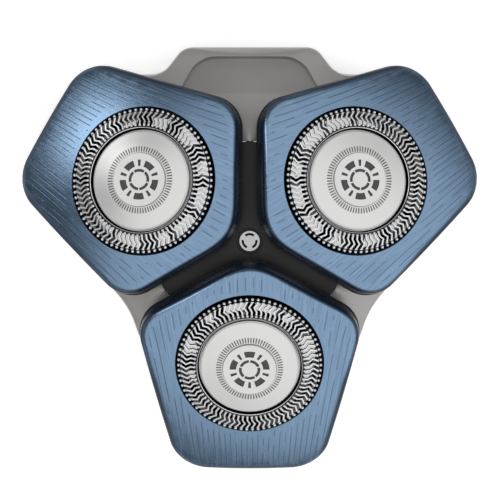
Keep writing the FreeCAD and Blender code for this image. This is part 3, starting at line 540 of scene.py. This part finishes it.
def satin_disc(k, finish, sizes):
    """Satin steel turned on a lathe: faint rings, etched ticks round the step, dark sunk marks, and lines
    of painted shade at the step and the rim.
    """
    material, tree, shader = new_material(
        f"satin_disc_{k}", finish.disc, metallic=DISC_METALLIC, roughness=0.34)
    place = unit_mm(tree, k)
    radius, angle, height = spun_place(tree, place)
    # Turning marks are 0.04 mm apart; they are drawn at 0.2 mm so that they show
    marks_out = add(tree, "ShaderNodeMath", {0: radius, 1: TURNED_PER_MM}, operation="MULTIPLY")
    turned = add(tree, "ShaderNodeTexNoise", {
        "W": marks_out, "Scale": 1.0, "Detail": 3.0}, noise_dimensions="1D")
    turns = add(tree, "ShaderNodeMath", {0: angle, 1: sizes.ticks / (2 * math.pi)}, operation="MULTIPLY")
    turn = add(tree, "ShaderNodeMath", {0: turns}, operation="FRACT")
    tick = band(tree, turn, *TICK_SHARES, soft=0.14)
    ring = band(tree, radius, TICK_INNER, TICK_OUTER, soft=0.08)
    ticks = add(tree, "ShaderNodeMath", {0: tick, 1: ring}, operation="MULTIPLY")
    ticks = add(tree, "ShaderNodeMath", {0: ticks, 1: TICK_SHADE}, operation="MULTIPLY")
    sunk = add(tree, "ShaderNodeMapRange", {
        "Value": height, "From Min": DISC_TOP - MARK_DARK[0], "From Max": DISC_TOP - MARK_DARK[1],
        "To Min": 1.0, "To Max": 0.0})
    near = band(tree, radius, -MARKS_OUTER, MARKS_OUTER, soft=0.02)
    marks = add(tree, "ShaderNodeMath", {0: sunk, 1: near}, operation="MULTIPLY")
    # Painted shade: a dark line at the step and another at the rim, where the disc meets the cap
    step = band(tree, radius, DISC_STEP - STEP_HALF, DISC_STEP + STEP_HALF, soft=0.06)
    step = add(tree, "ShaderNodeMath", {0: step, 1: STEP_SHADE}, operation="MULTIPLY")
    dark = add(tree, "ShaderNodeMath", {0: ticks, 1: marks}, operation="MAXIMUM")
    rim = band(tree, radius, DISC_EDGE - DISC_RIM, DISC_EDGE + 1, soft=0.04)
    dark = add(tree, "ShaderNodeMath", {0: dark, 1: step}, operation="MAXIMUM")
    dark = add(tree, "ShaderNodeMath", {0: dark, 1: rim}, operation="MAXIMUM")
    stained(tree, shader, dark, finish.disc, finish.mark)
    # The bevelled edge is left as blasted, so it looks as light as the face
    bevel = band(tree, radius, DISC_EDGE - DISC_BEVEL, DISC_EDGE + 1, soft=0.06)
    matt = add(tree, "ShaderNodeMath", {0: dark, 1: bevel}, operation="MAXIMUM")
    plain = add(tree, "ShaderNodeMath", {
        0: matt, 1: -DISC_METALLIC, 2: DISC_METALLIC}, operation="MULTIPLY_ADD")
    tree.links.new(plain.outputs[0], shader.inputs["Metallic"])
    glossed(tree, shader, turned, smooth=0.28, rough=0.42)
    relief(tree, shader, turned, depth_mm=0.002)
    return material


def plated_screw(finish):
    """Nickel-plated steel: a bright turned head whose drive recess is painted dark as shade."""
    material, tree, shader = new_material(
        "nickel_plated_steel", finish.nickel, metallic=1.0, roughness=0.26)
    place = object_mm(tree)
    radius, _, height = spun_place(tree, place)
    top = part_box("centre_screw")[1].z / MM
    # Painted shade: the drive recess is painted near black below the head's top
    sunk = add(tree, "ShaderNodeMapRange", {
        "Value": height, "From Min": top - RECESS_SHADE[0], "From Max": top - RECESS_SHADE[1],
        "To Min": 1.0, "To Max": 0.0})
    stained(tree, shader, sunk, finish.nickel, linear("#17171A"))
    turned = add(tree, "ShaderNodeTexNoise", {
        "W": radius, "Scale": 6.0, "Detail": 2.0}, noise_dimensions="1D")
    glossed(tree, shader, turned, smooth=0.18, rough=0.32)
    return material


def white_table(finish):
    """Matt white lacquered board: white to the eye and in metal, with the head's shadow on it."""
    material, tree, shader = new_material("lacquered_board", finish.table, metallic=0.0, roughness=0.65)
    grain = add(tree, "ShaderNodeTexNoise", {"Vector": object_mm(tree), "Scale": 0.8, "Detail": 2.0})
    relief(tree, shader, grain, depth_mm=0.01)
    ray = add(tree, "ShaderNodeLightPath")
    seen = add(tree, "ShaderNodeMath", {
        0: ray.outputs["Is Camera Ray"], 1: ray.outputs["Is Glossy Ray"]}, operation="MAXIMUM")
    seen = add(tree, "ShaderNodeMath", {
        0: seen, 1: ray.outputs["Is Transmission Ray"]}, operation="MAXIMUM")
    glow = add(tree, "ShaderNodeMath", {0: seen, 1: TABLE_GLOW}, operation="MULTIPLY")
    shader.inputs["Emission Color"].default_value = (1, 1, 1, 1)
    tree.links.new(glow.outputs[0], shader.inputs["Emission Strength"])
    return material


def white_tent(tree):
    """A light tent: white overhead and to the front right, dark low down and at the back left."""
    way = add(tree, "ShaderNodeTexCoord").outputs["Generated"]
    toward = add(tree, "ShaderNodeVectorMath", {0: way, 1: TENT_WAY}, operation="DOT_PRODUCT")
    glow = add(tree, "ShaderNodeMapRange", {
        "Value": toward.outputs["Value"], "From Min": TENT_FADE[0], "From Max": TENT_FADE[1],
        "To Min": TENT_DARK, "To Max": 1.0}, interpolation_type="SMOOTHSTEP")
    tree.links.new(glow.outputs[0], tree.nodes["Background"].inputs["Strength"])
    tree.nodes["Background"].inputs["Color"].default_value = linear("#FFFFFF")


def link_piece(name, mesh, body, material):
    """Makes an object of a finished bmesh, gives it its finish and lets it ride on its body, if any."""
    data = bpy.data.meshes.new(name)
    mesh.to_mesh(data)
    mesh.free()
    data.materials.append(material)
    piece = bpy.data.objects.new(name, data)
    bpy.context.scene.collection.objects.link(piece)
    if body:
        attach(piece, body)
    return piece


def merged_copy(node, sharp_degrees=28.0):
    """A node's mesh with its corners joined, smooth except at sharp edges."""
    mesh = bmesh.new()
    mesh.from_mesh(frame["nodes"][node].data)
    bmesh.ops.remove_doubles(mesh, verts=mesh.verts, dist=SAME_CORNER)
    for face in mesh.faces:
        face.smooth = True
    for edge in mesh.edges:
        edge.smooth = edge.calc_face_angle(math.pi) < math.radians(sharp_degrees)
    return mesh


def dress(name, node, body, material):
    """Puts a finished copy in place of a node."""
    if node not in frame["nodes"]:
        raise RuntimeError(f"the frame has no node {node}")
    piece = link_piece(name, merged_copy(node), body, material)
    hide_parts(node)
    return piece


def soft_box(name, place, target, width, radiance):
    """A square soft box, as bright over its whole face as the radiance says."""
    light = bpy.data.lights.new(name, "AREA")
    light.shape = "SQUARE"
    light.size = width
    light.energy = radiance * math.pi * width ** 2
    lamp = bpy.data.objects.new(name, light)
    lamp.location = place
    lamp.rotation_euler = (Vector(target) - Vector(place)).to_track_quat("-Z", "Y").to_euler()
    bpy.context.scene.collection.objects.link(lamp)


class SHAVER_OT_holder(Operator):
    """Dress the grey holder."""
    bl_idname = "shaver.holder"
    bl_label = "Holder"

    def execute(self, context):
        finish = context.scene.shaver_finishes
        dress("holder", "holder_shell", "holder", painted_abs(finish))
        return {"FINISHED"}


class SHAVER_OT_inner_frame(Operator):
    """Dress the black inner frame and the star between the units."""
    bl_idname = "shaver.inner_frame"
    bl_label = "Inner frame and star"

    def execute(self, context):
        black = black_abs(context.scene.shaver_finishes)
        dress("inner_frame", "chassis", "holder", black)
        dress("star", "star_cover", "holder", black)
        return {"FINISHED"}


class SHAVER_OT_screw(Operator):
    """Dress the screw in the middle of the star."""
    bl_idname = "shaver.screw"
    bl_label = "Centre screw"

    def execute(self, context):
        nickel = plated_screw(context.scene.shaver_finishes)
        dress("screw", "centre_screw", "holder", nickel)
        return {"FINISHED"}


class SHAVER_OT_plates(Operator):
    """Dress the three blue face plates and the black carriers under them."""
    bl_idname = "shaver.plates"
    bl_label = "Face plates and carriers"

    def execute(self, context):
        finish, sizes = context.scene.shaver_finishes, context.scene.shaver_sizes
        black = black_abs(finish)
        for k in UNITS:
            unit = f"shaving_unit_{k}"
            blue = anodised_aluminium(k, finish, sizes)
            dress(f"plate_{k}", f"face_plate_{k}", unit, blue)
            dress(f"carrier_{k}", f"plate_carrier_{k}", unit, black)
        return {"FINISHED"}


class SHAVER_OT_caps(Operator):
    """Dress the three slotted caps and add the beads that end their ribs."""
    bl_idname = "shaver.caps"
    bl_label = "Slotted caps"

    def beads(self, k, radius_m):
        """Two rows of small balls, half sunk in the cap, one at each end of every rib."""
        mesh = bmesh.new()
        step = 2 * math.pi / SLOT_COUNT
        for radius, height, share in BEAD_ROWS:
            for i in range(SLOT_COUNT):
                turn = Matrix.Rotation((i + 0.5) * step, 4, "Z")
                place = unit_matrix(k) @ turn @ Matrix.Translation((radius * MM, 0, height * MM))
                bmesh.ops.create_uvsphere(
                    mesh, u_segments=8, v_segments=4, radius=radius_m * share, matrix=place)
        for face in mesh.faces:
            face.smooth = True
        return mesh

    def execute(self, context):
        finish, sizes = context.scene.shaver_finishes, context.scene.shaver_sizes
        bright = bead_highlight_steel()
        for k in UNITS:
            unit = f"shaving_unit_{k}"
            dress(f"cap_{k}", f"guard_{k}", unit, stainless_cap(k, finish))
            link_piece(f"cap_beads_{k}", self.beads(k, sizes.bead), unit, bright)
        return {"FINISHED"}


class SHAVER_OT_discs(Operator):
    """Dress the satin discs in the middle of the caps."""
    bl_idname = "shaver.discs"
    bl_label = "Centre discs"

    def execute(self, context):
        finish, sizes = context.scene.shaver_finishes, context.scene.shaver_sizes
        for k in UNITS:
            satin = satin_disc(k, finish, sizes)
            dress(f"disc_{k}", f"guard_disc_{k}", f"shaving_unit_{k}", satin)
        return {"FINISHED"}


class SHAVER_OT_rotors(Operator):
    """Dress the ground cutters and their drive hubs."""
    bl_idname = "shaver.rotors"
    bl_label = "Cutters and hubs"

    def execute(self, context):
        finish = context.scene.shaver_finishes
        natural = acetal("natural_acetal", finish.hub)
        for k in UNITS:
            rotor = f"rotor_{k}"
            dress(f"blades_{k}", f"cutter_{k}", rotor, ground_steel(k, finish))
            dress(f"hub_{k}", f"cutter_hub_{k}", rotor, natural)
        return {"FINISHED"}


class SHAVER_OT_rings(Operator):
    """Dress the lock rings and the tilt rings."""
    bl_idname = "shaver.rings"
    bl_label = "Lock rings and tilt rings"

    def execute(self, context):
        dark = acetal("dark_acetal", context.scene.shaver_finishes.ring)
        for k in UNITS:
            dress(f"lock_{k}", f"retaining_ring_{k}", f"lock_ring_{k}", dark)
            dress(f"ring_{k}", f"gimbal_ring_{k}", f"tilt_ring_{k}", dark)
        return {"FINISHED"}


class SHAVER_OT_pivots(Operator):
    """Dress the pivot pins and the curved spring washers."""
    bl_idname = "shaver.pivots"
    bl_label = "Pins and springs"

    def washer(self, name, node, below, above, k, material):
        """A curved washer of unit k, a finished copy of its node baked in place on no body."""
        piece = link_piece(name, merged_copy(node), None, material)
        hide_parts(node)
        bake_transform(piece)

    def execute(self, context):
        drawn = worked_steel("drawn_steel", linear("#B4B5B7"), roughness=0.3, lines_per_mm=3.0)
        rolled = worked_steel(
            "rolled_spring_steel", linear("#9A9A99"), roughness=0.34, lines_per_mm=2.0)
        for k in UNITS:
            unit, ring = f"shaving_unit_{k}", f"tilt_ring_{k}"
            dress(f"pitch_axle_{k}", f"pitch_pins_{k}", unit, drawn)
            dress(f"roll_axle_{k}", f"roll_pins_{k}", "holder", drawn)
            self.washer(f"pitch_washer_{k}", f"pitch_spring_{k}", ring, unit, k, rolled)
            self.washer(f"roll_washer_{k}", f"roll_spring_{k}", "holder", ring, k, rolled)
        return {"FINISHED"}


class SHAVER_OT_studio(Operator):
    """Set the white table, the soft box, the light tent and the camera."""
    bl_idname = "shaver.studio"
    bl_label = "Studio"

    def execute(self, context):
        self.set_camera(context.scene)
        world = bpy.data.worlds.new("studio")
        world.use_nodes = True
        context.scene.world = world
        white_tent(world.node_tree)
        soft_box("left_box", BOX_PLACE, (0, 0, 0), BOX_WIDTH, BOX_RADIANCE)
        self.set_table(context.scene)
        context.scene.view_settings.view_transform = "Standard"
        return {"FINISHED"}

    def set_camera(self, scene):
        """A camera that leans from straight above, framed as the photograph is."""
        lean, reach = scene.shaver_sizes.camera_lean, scene.shaver_sizes.camera_distance
        camera = bpy.data.cameras.new("camera")
        eye = bpy.data.objects.new("camera", camera)
        aim = Vector((0, 0, AIM_HEIGHT * MM))
        eye.location = aim + Vector((0, math.sin(lean), math.cos(lean))) * reach
        eye.rotation_euler = Euler((-lean, 0, 0))
        camera.sensor_width = 36.0
        camera.lens = camera.sensor_width * reach / (PICTURE_WIDTH / PIXELS_PER_MM * MM)
        camera.shift_x = (PICTURE_WIDTH / 2 - AIM_PIXEL[0]) / PICTURE_WIDTH
        camera.shift_y = (AIM_PIXEL[1] - PICTURE_WIDTH / 2) / PICTURE_WIDTH
        scene.collection.objects.link(eye)
        scene.camera = eye

    def set_table(self, scene):
        """A wide white board under the head."""
        mesh = bmesh.new()
        bmesh.ops.create_grid(mesh, x_segments=1, y_segments=1, size=TABLE_HALF)
        data = bpy.data.meshes.new("table")
        mesh.to_mesh(data)
        mesh.free()
        data.materials.append(white_table(scene.shaver_finishes))
        table = bpy.data.objects.new("table", data)
        scene.collection.objects.link(table)


OPERATORS = (
    SHAVER_OT_holder, SHAVER_OT_inner_frame, SHAVER_OT_screw, SHAVER_OT_plates, SHAVER_OT_caps,
    SHAVER_OT_discs, SHAVER_OT_rotors, SHAVER_OT_rings, SHAVER_OT_pivots, SHAVER_OT_studio,
)


class SHAVER_PT_pieces(Panel):
    """The pieces of the shaver head and their settings."""
    bl_idname = "SHAVER_PT_pieces"
    bl_label = "Shaver head"
    bl_space_type = "VIEW_3D"
    bl_region_type = "UI"
    bl_category = "Shaver head"

    def draw(self, context):
        for group in (context.scene.shaver_finishes, context.scene.shaver_sizes):
            for name in group.bl_rna.properties.keys():
                if name not in ("rna_type", "name"):
                    self.layout.prop(group, name)
        for operator in OPERATORS:
            self.layout.operator(operator.bl_idname)


CLASSES = (ShaverFinishes, ShaverSizes) + OPERATORS + (SHAVER_PT_pieces,)


def register():
    """Adds the classes, and the settings to the scene."""
    for cls in CLASSES:
        bpy.utils.register_class(cls)
    bpy.types.Scene.shaver_finishes = PointerProperty(type=ShaverFinishes)
    bpy.types.Scene.shaver_sizes = PointerProperty(type=ShaverSizes)


def unregister():
    """Takes the settings and the classes away again."""
    del bpy.types.Scene.shaver_sizes
    del bpy.types.Scene.shaver_finishes
    for cls in reversed(CLASSES):
        bpy.utils.unregister_class(cls)


def main():
    """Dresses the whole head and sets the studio."""
    register()
    bpy.ops.shaver.holder()
    bpy.ops.shaver.inner_frame()
    bpy.ops.shaver.screw()
    bpy.ops.shaver.plates()
    bpy.ops.shaver.caps()
    bpy.ops.shaver.discs()
    bpy.ops.shaver.rotors()
    bpy.ops.shaver.rings()
    bpy.ops.shaver.pivots()
    bpy.ops.shaver.studio()


if __name__ == "__main__":
    main()
